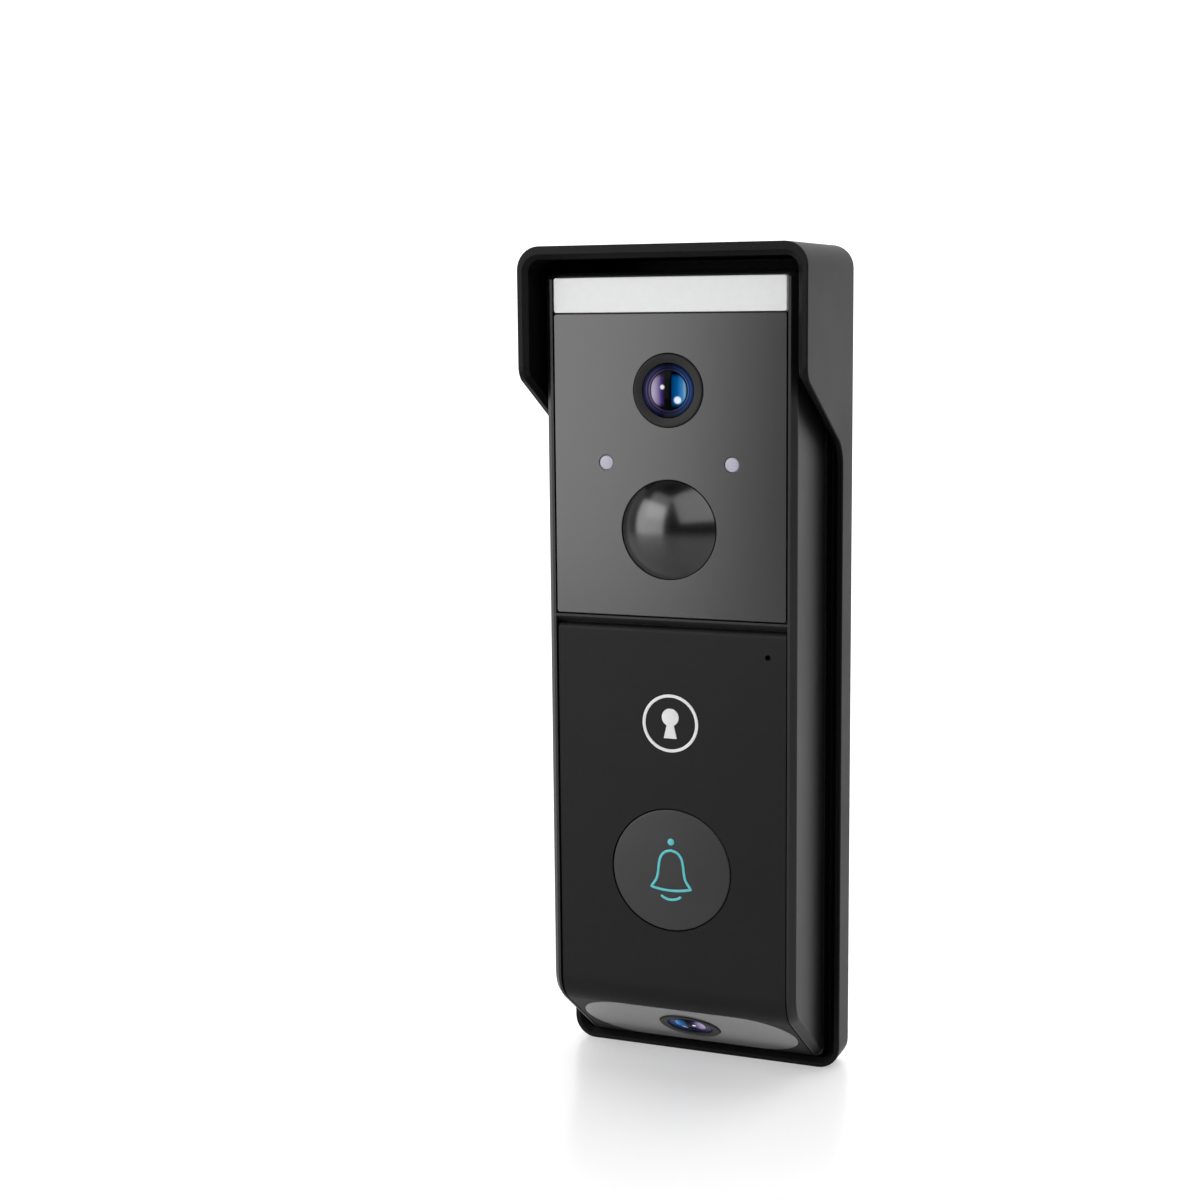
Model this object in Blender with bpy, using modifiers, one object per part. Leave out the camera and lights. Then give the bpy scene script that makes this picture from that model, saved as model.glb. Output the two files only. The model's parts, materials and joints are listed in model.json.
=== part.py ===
"""A video doorbell in its rain hood, as separate solids.

Lengths are millimetres here and MM turns them into metres. The origin is the middle of the
hood's flat back, which lies against the wall. +Z is up, the front faces -Y, +X is to the right
of someone who looks at the front.
"""

import math

import bmesh
import bpy
from mathutils import Matrix, Vector

MM = 0.001
GAP = 0.3

# Rain hood
HALF_WIDTH = 29.0
HALF_HEIGHT = 82.9
VISOR_Y = -31.7
RIM_Y = -6.9
HOOD_WALL = 2.0
INNER_BEVEL = 0.95
HOOD_CORNER = 4.5
HOOD_INNER_TOP = 80.4
HOOD_INNER_BOTTOM = -81.0
VISOR_SLOPE_TOP = 58.05
VISOR_SLOPE_END = 43.7

# Doorbell body
BODY_HALF = 25.45
BODY_TOP = 77.8
BODY_BOTTOM = -80.7
BODY_CORNER = 1.5
RIM_FRONT_Y = -26.6
RIM_CHAMFER = 1.15
GLASS_Y = -26.6
PANEL_Y = -26.25
BODY_BACK_Y = -2.3
FRONT_SHELL_END_Y = -7.0
REAR_SHELL_START_Y = -5.8
SHELL_WALL = 1.8
PANEL_HALF = 23.5
RECESS_HALF = PANEL_HALF + GAP
WEB_BACK_Y = -23.2
CAVITY_TOP = 76.0
CAVITY_HALF = BODY_HALF - SHELL_WALL

# Sloping chin: a plane through CHIN_POINT, which leans back by CHIN_ANGLE from level
CHIN_ANGLE = math.radians(36.2)
CHIN_POINT = (-16.6, -73.4)
CHIN_BEND = 7.5
CHIN_CENTRE = 1.5

# Heights of what shows on the front
GLASS_TOP = 76.9
BAR_BOTTOM = GLASS_TOP - 6.65
GLASS_BOTTOM = GLASS_TOP - 65.1
LENS_Z = GLASS_TOP - 21.47
LED_Z = GLASS_TOP - 35.4
LED_X = 12.78
DOME_Z = GLASS_TOP - 48.19
COVER_TOP = GLASS_TOP - 67.2
MIC_X = 19.82
MIC_Z = GLASS_TOP - 72.09
BADGE_Z = GLASS_TOP - 86.1
BUTTON_Z = GLASS_TOP - 115.61
BUTTON_RADIUS = 12.25
BUTTON_FACE = -0.35

# Inside and back
BOSS_X = 19.2
BOSS_HEIGHTS = (48.0, -52.0)
POST_X = 13.5
POST_HEIGHTS = (63.0, 14.0)
HOOK_X = 16.0
HOOK_HEIGHTS = (66.0, -62.0)
LIFT = 2.0
PORT_Z = 18.0
RESET_X = 13.0
SCREW_HOLE_HEIGHTS = (52.0, -40.0)
SECURITY_Y = -4.1


def face_frame(out, right, origin):
    """A local frame whose x is right, whose z points out of a face, and whose y completes it."""
    out, right = Vector(out), Vector(right)
    turn = Matrix((right, out.cross(right), out)).transposed().to_4x4()
    return Matrix.Translation(Vector(origin) * MM) @ turn


def chin_height(y, depth=0.0):
    """Height of the chin's plane at y, moved inwards by depth."""
    return CHIN_POINT[1] + depth / math.cos(CHIN_ANGLE) - (y - CHIN_POINT[0]) * math.tan(CHIN_ANGLE)


FRONT = face_frame((0, -1, 0), (1, 0, 0), (0, GLASS_Y, 0))
WALL = face_frame((0, -1, 0), (1, 0, 0), (0, 0, 0))
REAR = face_frame((0, 1, 0), (-1, 0, 0), (0, BODY_BACK_Y, 0))
SIDE = face_frame((1, 0, 0), (0, 1, 0), (0, 0, 0))
ABOVE = face_frame((0, 0, 1), (1, 0, 0), (0, 0, 0))
CHIN = face_frame(
    (0, -math.sin(CHIN_ANGLE), -math.cos(CHIN_ANGLE)),
    (1, 0, 0),
    (
        0,
        CHIN_POINT[0] + CHIN_CENTRE * math.cos(CHIN_ANGLE),
        CHIN_POINT[1] - CHIN_CENTRE * math.sin(CHIN_ANGLE),
    ),
)


# Scene, collections and finishes


def clear_scene():
    for old in list(bpy.data.objects):
        bpy.data.objects.remove(old, do_unlink=True)


def new_collection(name, hidden=False):
    made = bpy.data.collections.new(name)
    made.hide_render = hidden
    bpy.context.scene.collection.children.link(made)
    return made


clear_scene()
PARTS = new_collection("video_doorbell")
CUTTERS = new_collection("cutters", hidden=True)


def finish(name, colour, roughness, metallic=0.0):
    made = bpy.data.materials.new(name)
    made.use_nodes = True
    shader = made.node_tree.nodes["Principled BSDF"]
    shader.inputs["Base Color"].default_value = (*colour, 1.0)
    shader.inputs["Roughness"].default_value = roughness
    shader.inputs["Metallic"].default_value = metallic
    made.diffuse_color = (*colour, 1.0)
    return made


FINISHES = {
    "hood_plastic": finish("hood_plastic", (0.020, 0.020, 0.021), 0.48),
    "shell_plastic": finish("shell_plastic", (0.018, 0.018, 0.019), 0.42),
    "cover_plastic": finish("cover_plastic", (0.016, 0.016, 0.017), 0.60),
    "dark_glass": finish("dark_glass", (0.045, 0.045, 0.048), 0.08),
    "diffuser": finish("diffuser", (0.82, 0.83, 0.84), 0.35),
    "dome_plastic": finish("dome_plastic", (0.015, 0.015, 0.016), 0.18),
    "lens_ring": finish("lens_ring", (0.07, 0.065, 0.062), 0.35),
    "lens_glass": finish("lens_glass", (0.02, 0.03, 0.09), 0.03),
    "light_pipe": finish("light_pipe", (0.62, 0.60, 0.70), 0.25),
    "button_plastic": finish("button_plastic", (0.040, 0.040, 0.042), 0.55),
    "symbol_cyan": finish("symbol_cyan", (0.10, 0.60, 0.62), 0.40),
    "print_white": finish("print_white", (0.80, 0.80, 0.80), 0.45),
    "window_plastic": finish("window_plastic", (0.15, 0.15, 0.155), 0.30),
    "circuit_board": finish("circuit_board", (0.02, 0.10, 0.05), 0.45),
    "tinned_steel": finish("tinned_steel", (0.60, 0.60, 0.62), 0.30, 1.0),
    "screw_steel": finish("screw_steel", (0.35, 0.35, 0.37), 0.35, 1.0),
    "rubber": finish("rubber", (0.03, 0.03, 0.03), 0.80),
    "battery_wrap": finish("battery_wrap", (0.10, 0.22, 0.45), 0.40),
    "black_part": finish("black_part", (0.025, 0.025, 0.027), 0.50),
    "led_body": finish("led_body", (0.85, 0.83, 0.70), 0.30),
    "antenna_film": finish("antenna_film", (0.45, 0.22, 0.08), 0.40),
}


# Outlines, as lists of (x, y)


def rounded_outline(corners, steps=5):
    """A closed outline through corners of (x, y, radius), each turned on an arc of its radius."""
    points = []
    for index, (x, y, radius) in enumerate(corners):
        here = Vector((x, y))
        if radius == 0:
            points.append(tuple(here))
            continue
        back = (Vector(corners[index - 1][:2]) - here).normalized()
        ahead = (Vector(corners[(index + 1) % len(corners)][:2]) - here).normalized()
        half = back.angle(ahead) / 2
        centre = here + (back + ahead).normalized() * (radius / math.sin(half))
        start = here + back * (radius / math.tan(half)) - centre
        end = here + ahead * (radius / math.tan(half)) - centre
        turn = start.angle_signed(end)
        for step in range(steps + 1):
            points.append(tuple(centre + Matrix.Rotation(-turn * step / steps, 2) @ start))
    return points


def rectangle(half_width, low, high, radius=0.0, steps=5, middle=0.0):
    left, right = middle - half_width, middle + half_width
    corners = [(left, low), (right, low), (right, high), (left, high)]
    return rounded_outline([(x, y, radius) for x, y in corners], steps)


def circle(radius, steps=32, centre=(0.0, 0.0)):
    angles = [2 * math.pi * step / steps for step in range(steps)]
    return [(centre[0] + radius * math.cos(a), centre[1] + radius * math.sin(a)) for a in angles]


def stadium(half_length, half_height, steps=12):
    """Straight long sides joined by half-round ends."""
    points = []
    for side in (1, -1):
        centre = side * (half_length - half_height)
        for step in range(steps + 1):
            angle = math.pi * (step / steps - 0.5) + (0 if side > 0 else math.pi)
            points.append((centre + half_height * math.cos(angle), half_height * math.sin(angle)))
    return points


# Solids


def add_object(name, mesh, matrix, look):
    made = bpy.data.objects.new(name, mesh)
    PARTS.objects.link(made)
    made.matrix_world = matrix
    if look:
        mesh.materials.clear()
        mesh.materials.append(FINISHES[look])
    return made


def prism(name, frame, outline, low, high, look=None, at=(0.0, 0.0)):
    """The outline, raised from low to high along the frame's z, as a filled 2D curve made a mesh."""
    curve = bpy.data.curves.new(name, "CURVE")
    curve.dimensions = "2D"
    curve.fill_mode = "BOTH"
    curve.extrude = (high - low) / 2 * MM
    line = curve.splines.new("POLY")
    line.points.add(len(outline) - 1)
    for point, (x, y) in zip(line.points, outline):
        point.co = (x * MM, y * MM, 0.0, 1.0)
    line.use_cyclic_u = True
    place = frame @ Matrix.Translation(Vector((*at, (low + high) / 2)) * MM)
    guide = bpy.data.objects.new(name + "_guide", curve)
    PARTS.objects.link(guide)
    guide.matrix_world = place
    evaluated = guide.evaluated_get(bpy.context.evaluated_depsgraph_get())
    mesh = bpy.data.meshes.new_from_object(evaluated)
    bpy.data.objects.remove(guide, do_unlink=True)
    mesh.name = name
    shape = bmesh.new()
    shape.from_mesh(mesh)
    bmesh.ops.remove_doubles(shape, verts=shape.verts, dist=1e-6)
    bmesh.ops.dissolve_limit(shape, angle_limit=math.radians(1), verts=shape.verts, edges=shape.edges)
    bmesh.ops.recalc_face_normals(shape, faces=shape.faces)
    shape.to_mesh(mesh)
    shape.free()
    return add_object(name, mesh, place, look)


def box(name, frame, low, high, look=None):
    """A box between two corners given in the frame."""
    centre = [(a + b) / 2 for a, b in zip(low, high)]
    size = Matrix.Diagonal([(b - a) * MM for a, b in zip(low, high)] + [1.0])
    shape = bmesh.new()
    bmesh.ops.create_cube(shape, size=1.0, matrix=size)
    mesh = bpy.data.meshes.new(name)
    shape.to_mesh(mesh)
    shape.free()
    return add_object(name, mesh, frame @ Matrix.Translation(Vector(centre) * MM), look)


def cone(name, frame, at, low, high, radius_low, radius_high, look=None, sides=24):
    shape = bmesh.new()
    bmesh.ops.create_cone(
        shape,
        cap_ends=True,
        segments=sides,
        radius1=radius_low * MM,
        radius2=radius_high * MM,
        depth=(high - low) * MM,
    )
    mesh = bpy.data.meshes.new(name)
    shape.to_mesh(mesh)
    shape.free()
    place = frame @ Matrix.Translation(Vector((*at, (low + high) / 2)) * MM)
    made = add_object(name, mesh, place, look)
    return smooth(made)


def cylinder(name, frame, at, low, high, radius, look=None, sides=24):
    return cone(name, frame, at, low, high, radius, radius, look, sides)


def smooth(piece):
    piece.data.shade_smooth()
    piece.data.set_sharp_from_angle(angle=math.radians(35))
    return piece


def turned(name, frame, at, profile, look, steps=32, closed=False):
    """A profile of (radius, height), read down its outer side, turned about the frame's z."""
    mesh = bpy.data.meshes.new(name)
    points = [(radius * MM, 0.0, height * MM) for radius, height in profile]
    edges = [(i, i + 1) for i in range(len(points) - 1)]
    if closed:
        edges.append((len(points) - 1, 0))
    mesh.from_pydata(points, edges, [])
    made = add_object(name, mesh, frame @ Matrix.Translation(Vector((*at, 0.0)) * MM), look)
    screw = made.modifiers.new("turn", "SCREW")
    screw.axis = "Z"
    screw.steps = steps
    screw.render_steps = steps
    screw.use_merge_vertices = True
    screw.merge_threshold = 1e-6
    screw.use_smooth_shade = True
    return made


def combine(piece, operation, *others):
    """Adds a Boolean for each of the others, which become hidden helpers."""
    for other in others:
        PARTS.objects.unlink(other)
        CUTTERS.objects.link(other)
        other.hide_render = True
        other.display_type = "WIRE"
        step = piece.modifiers.new(operation.lower() + "_" + other.name, "BOOLEAN")
        step.operation = operation
        step.solver = "EXACT"
        step.object = other
    return piece


def cut(piece, *others):
    return combine(piece, "DIFFERENCE", *others)


def join(piece, *others):
    return combine(piece, "UNION", *others)


def freeze(piece):
    """Makes the modifiers' result the piece's own mesh."""
    bpy.context.view_layer.update()
    evaluated = piece.evaluated_get(bpy.context.evaluated_depsgraph_get())
    mesh = bpy.data.meshes.new_from_object(evaluated)
    piece.modifiers.clear()
    piece.data = mesh
    return piece


def soften(piece, width, segments, chosen, least=50):
    """Bevels the edges that turn by at least this angle and whose two ends pass the test chosen.
    The ends are in world millimetres."""
    freeze(piece)
    shape = bmesh.new()
    shape.from_mesh(piece.data)
    bmesh.ops.remove_doubles(shape, verts=shape.verts, dist=1e-6)
    bmesh.ops.dissolve_limit(shape, angle_limit=math.radians(1), verts=shape.verts, edges=shape.edges)
    shape.normal_update()
    edges = []
    for edge in shape.edges:
        ends = [piece.matrix_world @ vert.co / MM for vert in edge.verts]
        if edge.calc_face_angle(0) > math.radians(least) and all(chosen(end) for end in ends):
            edges.append(edge)
    bmesh.ops.bevel(
        shape,
        geom=edges,
        offset=width * MM,
        offset_type="OFFSET",
        segments=segments,
        profile=0.5,
        affect="EDGES",
        clamp_overlap=True,
    )
    shape.to_mesh(piece.data)
    shape.free()
    return piece


# Rain hood


def in_mouth(point):
    """True on the edge between the hood's front rim and its hollow."""
    beside = abs(point.x) < HALF_WIDTH - HOOD_WALL + 0.01
    return beside and HOOD_INNER_BOTTOM - 0.01 < point.z < HOOD_INNER_TOP + 0.01


def build_rain_hood():
    side = rounded_outline(
        [
            (VISOR_Y, HALF_HEIGHT, 0),
            (VISOR_Y, VISOR_SLOPE_TOP, 3.5),
            (RIM_Y, VISOR_SLOPE_END, 6.5),
            (RIM_Y, -HALF_HEIGHT, 0),
            (0, -HALF_HEIGHT, 0),
            (0, HALF_HEIGHT, 0),
        ],
        8,
    )
    hood = prism("rain_hood", SIDE, side, -HALF_WIDTH, HALF_WIDTH, "hood_plastic")
    outer = rectangle(HALF_WIDTH, -HALF_HEIGHT, HALF_HEIGHT, HOOD_CORNER, 8)
    combine(hood, "INTERSECT", prism("hood_outer", WALL, outer, -10, 50))
    radius = HOOD_CORNER - HOOD_WALL
    inner = rectangle(HALF_WIDTH - HOOD_WALL, HOOD_INNER_BOTTOM, HOOD_INNER_TOP, radius, 8)
    cut(hood, prism("hood_hollow", WALL, inner, HOOD_WALL, 50))
    soften(hood, INNER_BEVEL, 1, lambda end: end.y < RIM_Y + 0.01 and in_mouth(end))
    soften(hood, 0.3, 3, lambda end: end.y < RIM_Y + 0.01 and not in_mouth(end))
    cut(hood, box("hood_window", WALL, (-17, 8, -5), (17, 34, 5)))
    for height in SCREW_HOLE_HEIGHTS:
        cut(hood, cylinder("wall_screw_hole", WALL, (0, height), -5, 5, 2.2))
        cut(hood, cone("wall_screw_sink", WALL, (0, height), 0.4, 2.4, 1.8, 4.0))
    at = (0, SECURITY_Y)
    cut(hood, cylinder("security_hole", ABOVE, at, -84, -80, 1.2))
    cut(hood, cone("security_sink", ABOVE, at, -83.2, -81.4, 2.5, 1.2))
    for x in (-HOOK_X, HOOK_X):
        for z in HOOK_HEIGHTS:
            stem = box("hook_stem", WALL, (x - 3.2, z - 0.6, 1.0), (x + 3.2, z + 0.6, 5.2))
            tongue = box("hook_tongue", WALL, (x - 3.0, z - 0.5, 4.2), (x + 3.0, z + 2.4, 5.3))
            join(hood, stem, tongue)


# Body shells


def on_rim(point):
    """True at the ends of the side profile's edges, from the top to the foot of the chin."""
    return abs(point.x) > BODY_HALF - 0.01 and point.y < -3


def build_front_shell():
    chin_end_y = CHIN_POINT[0] + (CHIN_POINT[1] - BODY_BOTTOM) / math.tan(CHIN_ANGLE)
    side = rounded_outline(
        [
            (RIM_FRONT_Y, BODY_TOP, 0),
            (RIM_FRONT_Y, chin_height(RIM_FRONT_Y), CHIN_BEND),
            (chin_end_y, BODY_BOTTOM, 0),
            (0, BODY_BOTTOM, 0),
            (0, BODY_TOP, 0),
        ]
    )
    shell = prism("front_shell", SIDE, side, -BODY_HALF, BODY_HALF, "shell_plastic")
    soften(shell, RIM_CHAMFER, 1, on_rim)
    soften(shell, 0.2, 2, on_rim, 30)
    outer = rectangle(BODY_HALF, BODY_BOTTOM, BODY_TOP, BODY_CORNER, 4)
    combine(shell, "INTERSECT", prism("shell_outer", WALL, outer, -FRONT_SHELL_END_Y, 50))

    cavity = rounded_outline(
        [
            (WEB_BACK_Y, CAVITY_TOP, 0),
            (WEB_BACK_Y, chin_height(WEB_BACK_Y, 3.1), 4.4),
            (5, chin_height(5, 3.1), 0),
            (5, CAVITY_TOP, 0),
        ]
    )
    cut(shell, prism("shell_cavity", SIDE, cavity, -CAVITY_HALF, CAVITY_HALF))
    add_bosses(shell)
    cut(shell, box("glass_recess", WALL, (-RECESS_HALF, 11.5, 24.9), (RECESS_HALF, 77.2, 40)))
    floor = PANEL_Y + 1.8
    cover_recess = rounded_outline(
        [
            (-45, COVER_TOP + GAP, 0),
            (floor, COVER_TOP + GAP, 0),
            (floor, chin_height(floor, 1.8), CHIN_BEND - 1.8),
            (0, chin_height(0, 1.8), 0),
            (-45, -120, 0),
        ]
    )
    cut(shell, prism("cover_recess", SIDE, cover_recess, -RECESS_HALF, RECESS_HALF))
    low = COVER_TOP + GAP
    bar_slope = [(-45, 11.05), (RIM_FRONT_Y, 11.05), (RIM_FRONT_Y + 11.05 - low, low), (-45, low)]
    cut(shell, prism("bar_slope", SIDE, bar_slope, -RECESS_HALF, RECESS_HALF))
    cut(
        shell,
        cylinder("lens_opening", FRONT, (0, LENS_Z), -6, 2, 7.3, sides=32),
        cylinder("dome_opening", FRONT, (0, DOME_Z), -6, 2, 8.4, sides=32),
        cylinder("led_opening_left", FRONT, (-LED_X, LED_Z), -6, 2, 1.7, sides=16),
        cylinder("led_opening_right", FRONT, (LED_X, LED_Z), -6, 2, 1.7, sides=16),
        box("bar_opening", FRONT, (-21, 71.6, -6), (21, 75.4, 2)),
        cylinder("button_opening", FRONT, (0, BUTTON_Z), -6, 2, 14.0, sides=32),
        cylinder("mic_opening", FRONT, (MIC_X, MIC_Z), -6, 2, 2.9, sides=20),
        cylinder("chin_opening", CHIN, (0, 0), -6, 2, 6.9, sides=32),
    )
    return shell


def add_bosses(shell):
    """Screw bosses for the rear shell, posts for the main board and pegs for the button board."""
    web = -WEB_BACK_Y + 0.6
    for x in (-BOSS_X, BOSS_X):
        for z in BOSS_HEIGHTS:
            join(shell, cylinder("boss", WALL, (x, z), -FRONT_SHELL_END_Y, web, 2.6, sides=20))
            cut(shell, cylinder("boss_bore", WALL, (x, z), 5, 16, 1.3, sides=12))
    for x in (-POST_X, POST_X):
        for z in POST_HEIGHTS:
            join(shell, cylinder("post", WALL, (x, z), 12.5, web, 1.9, sides=16))
        cut(shell, cylinder("post_bore", WALL, (x, POST_HEIGHTS[x < 0]), 12, 18, 1.1, sides=12))
    for x in (-15.8, 15.8):
        for z in (BUTTON_Z - 10.5, BUTTON_Z + 10.5):
            join(shell, cylinder("peg", WALL, (x, z), 18.4, web, 1.4, sides=12))


def build_rear_shell():
    outline = rectangle(BODY_HALF, BODY_BOTTOM, BODY_TOP, BODY_CORNER, 4)
    back = -BODY_BACK_Y
    shell = prism("rear_shell", WALL, outline, back, -REAR_SHELL_START_Y, "shell_plastic")
    inner = rectangle(CAVITY_HALF, BODY_BOTTOM + SHELL_WALL, CAVITY_TOP, 0.8, 3)
    cut(shell, prism("rear_hollow", WALL, inner, back + 1.6, 10))
    for x in (-BOSS_X, BOSS_X):
        for z in BOSS_HEIGHTS:
            join(shell, cylinder("rear_boss", WALL, (x, z), back + 1.2, 6.7, 3.2, sides=20))
            cut(shell, cylinder("rear_bore", WALL, (x, z), 0, 8, 1.3, sides=12))
            cut(shell, cylinder("rear_sink", WALL, (x, z), 0, 3.9, 2.2, sides=16))
    for x in (-HOOK_X, HOOK_X):
        for z in HOOK_HEIGHTS:
            join(shell, box("pocket", WALL, (x - 4.6, z - 4.2, back + 1.2), (x + 4.6, z + 3.8, 6.8)))
            cut(shell, box("pocket_hollow", WALL, (x - 3.6, z - 3.2, 3.9), (x + 3.6, z + 2.8, 5.8)))
            cut(shell, box("pocket_slot", WALL, (x - 3.5, z - 3.1, 0), (x + 3.5, z + 0.9, 4.5)))
    join(shell, box("flap_boss", WALL, (-9, 11.2, back + 0.8), (9, 24.8, 5.4)))
    cut(shell, box("flap_recess", WALL, (-7.3, 13.2, 0), (7.3, 22.8, 3.9)))
    port = rectangle(4.8, PORT_Z - 1.95, PORT_Z + 1.95, 1.9, 4)
    cut(shell, prism("port_opening", WALL, port, 0, 8))
    join(shell, cylinder("reset_boss", WALL, (RESET_X, PORT_Z), back + 0.8, 5.4, 3.6, sides=20))
    cut(shell, cylinder("reset_opening", WALL, (RESET_X, PORT_Z), 0, 8, 2.5, sides=20))
    for row in range(5):
        z = 40 + (row - 2) * 3.2
        cut(shell, box("sound_slot", WALL, (-7, z - 0.6, 0), (7, z + 0.6, 6)))
    join(shell, box("security_boss", WALL, (-2.6, BODY_BOTTOM + 0.4, back + 0.4), (2.6, -73.5, 5.7)))
    cut(shell, cylinder("security_bore", ABOVE, (0, SECURITY_Y), -82, -74.5, 1.2, sides=12))
    return shell


def build_seal():
    ring = rectangle(BODY_HALF - 0.45, BODY_BOTTOM + 0.45, BODY_TOP - 0.45, 1.1, 3)
    hole = rectangle(CAVITY_HALF + 0.25, BODY_BOTTOM + 1.55, CAVITY_TOP + 0.2, 0.6, 3)
    low, high = -REAR_SHELL_START_Y + GAP, -FRONT_SHELL_END_Y - GAP
    seal = prism("shell_seal", WALL, ring, low, high, "rubber")
    cut(seal, prism("seal_hole", WALL, hole, 0, 10))


# Front panels


def build_glass_panel():
    outline = rectangle(PANEL_HALF, GLASS_BOTTOM, BAR_BOTTOM - GAP, 0.4, 2)
    glass = prism("glass_panel", FRONT, outline, -1.4, 0, "dark_glass")
    cut(
        glass,
        cylinder("glass_lens_hole", FRONT, (0, LENS_Z), -4, 2, 7.1, sides=48),
        cylinder("glass_dome_hole", FRONT, (0, DOME_Z), -4, 2, 9.68, sides=64),
        cylinder("glass_led_left", FRONT, (-LED_X, LED_Z), -4, 2, 1.47, sides=24),
        cylinder("glass_led_right", FRONT, (LED_X, LED_Z), -4, 2, 1.47, sides=24),
    )
    bar = rectangle(PANEL_HALF, BAR_BOTTOM, GLASS_TOP, 0.4, 2)
    prism("light_bar_lens", FRONT, bar, -1.4, 0, "diffuser")


def build_lower_cover():
    inner = PANEL_Y + 1.5
    side = rounded_outline(
        [
            (PANEL_Y, COVER_TOP, 1.2),
            (PANEL_Y, chin_height(PANEL_Y), CHIN_BEND),
            (FRONT_SHELL_END_Y, chin_height(FRONT_SHELL_END_Y), 0),
            (FRONT_SHELL_END_Y, chin_height(FRONT_SHELL_END_Y, 1.5), 0),
            (inner, chin_height(inner, 1.5), CHIN_BEND - 1.5),
            (inner, COVER_TOP, 0),
        ],
        8,
    )
    cover = prism("lower_cover", SIDE, side, -PANEL_HALF, PANEL_HALF, "cover_plastic")
    cut(
        cover,
        cylinder("button_hole", FRONT, (0, BUTTON_Z), -5, 5, BUTTON_RADIUS + 0.2, sides=64),
        cylinder("mic_hole", FRONT, (MIC_X, MIC_Z), -5, 5, 0.55, sides=12),
        prism("window_recess", CHIN, stadium(22.8, 10.2, 16), -1.05, 4),
        cylinder("chin_lens_hole", CHIN, (0, 0), -5, 5, 6.4, sides=48),
    )
    window = prism("chin_window", CHIN, stadium(22.7, 10.1, 16), -0.75, 0.0, "window_plastic")
    cut(window, cylinder("window_lens_hole", CHIN, (0, 0), -5, 5, 6.4, sides=48))


def build_badge():
    """A plain ring with a keyhole, printed on the cover."""
    face = BUTTON_FACE + 0.04
    centre = (0, BADGE_Z)
    ring = prism("badge_ring", FRONT, circle(5.75, 40), face, face + 0.1, "print_white", centre)
    cut(ring, cylinder("badge_ring_hole", FRONT, centre, -5, 5, 5.15, sides=40))
    top, half_neck, half_foot, foot = 1.75, 0.75, 1.35, -3.0
    start = math.asin(half_neck / top)
    keyhole = [(-half_foot, foot), (half_foot, foot)]
    for step in range(17):
        angle = -math.pi / 2 + start + (2 * math.pi - 2 * start) * step / 16
        keyhole.append((top * math.cos(angle), 1.2 + top * math.sin(angle)))
    prism("badge_keyhole", FRONT, keyhole, face, face + 0.1, "print_white", centre)


# Cameras, sensor and lights


def build_camera(prefix, frame, at, ring, glass, depths):
    """A bezel ring, a domed front glass, a lens barrel, its square holder and the sensor board."""
    inner = glass + 0.25
    turned(
        prefix + "_lens_ring",
        frame,
        at,
        [(inner, 0.1), (ring - 0.25, 0.3), (ring, 0.1), (ring, -1.3), (inner, -1.3)],
        "lens_ring",
        closed=True,
    )
    turned(
        prefix + "_lens_glass",
        frame,
        at,
        [(0, 0.1), (glass * 0.35, 0.02), (glass * 0.7, -0.25), (glass, -0.75), (glass, -1.3), (0, -1.3)],
        "lens_glass",
    )
    barrel_end, holder_top, holder_end, half, board_half = depths
    turned(
        prefix + "_lens_barrel",
        frame,
        at,
        [(0, -1.7), (glass, -1.7), (glass, barrel_end), (0, barrel_end)],
        "black_part",
    )
    x, z = at
    square = rectangle(half, z - half, z + half, 1.0, 2, middle=x)
    holder = prism(prefix + "_lens_holder", frame, square, holder_end, holder_top, "black_part")
    floor = barrel_end - GAP
    cut(holder, cylinder(prefix + "_holder_bore", frame, at, floor, 2, glass + 0.3, sides=32))
    board = rectangle(board_half, z - board_half, z + board_half, 0.8, 2, middle=x)
    top = holder_end - GAP
    prism(prefix + "_camera_board", frame, board, top - 0.8, top, "circuit_board")


def build_motion_sensor():
    radius, rise, wall = 9.5, 3.8, 0.8

    def arc(reach, height, steps=8):
        """Points of a spherical cap from its top to its edge, reach wide and height tall."""
        ball = (reach**2 + height**2) / (2 * height)
        span = math.asin(min(1.0, reach / ball))
        angles = [span * step / steps for step in range(steps + 1)]
        return [(ball * math.sin(a), height - ball * (1 - math.cos(a))) for a in angles]

    outer = [(r, z) for r, z in arc(radius, rise)]
    inner = [(r, z - wall) for r, z in arc(radius - wall, rise - 0.3)]
    profile = outer + [(radius, -1.4), (radius - wall, -1.4)] + inner[::-1]
    turned("motion_dome", FRONT, (0, DOME_Z), profile, "dome_plastic", steps=40)
    can = [(0, -2.6), (3.7, -2.6), (4.1, -3.0), (4.1, -6.3), (4.6, -6.3), (4.6, -7.0), (0, -7.0)]
    turned("motion_sensor", FRONT, (0, DOME_Z), can, "tinned_steel", steps=24)
    board = rectangle(15.2, 22.0, 44.0, 0.8, 2)
    prism("sensor_board", FRONT, board, -8.3, -7.3, "circuit_board")
    for side, x in (("left", -LED_X), ("right", LED_X)):
        pipe = [(0, 0.03), (1.25, 0.03), (1.37, -0.1), (1.37, -4.6), (0, -4.6)]
        turned("light_pipe_" + side, FRONT, (x, LED_Z), pipe, "light_pipe", steps=20)
        lamp = [(0, -4.9), (0.9, -5.1), (1.4, -5.8), (1.4, -7.0), (0, -7.0)]
        turned("sensor_led_" + side, FRONT, (x, LED_Z), lamp, "led_body", steps=16)


def build_light_bar():
    board = rectangle(22.0, 70.8, 75.6, 0.4, 2)
    prism("light_bar_board", FRONT, board, -6.8, -6.0, "circuit_board")
    for index in range(4):
        x = (index - 1.5) * 11.0
        low, high = (x - 1.75, 72.1, -5.7), (x + 1.75, 74.9, -4.5)
        box("bar_led_%d" % (index + 1), FRONT, low, high, "led_body")


# Bell button, its symbol and its switch


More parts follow.
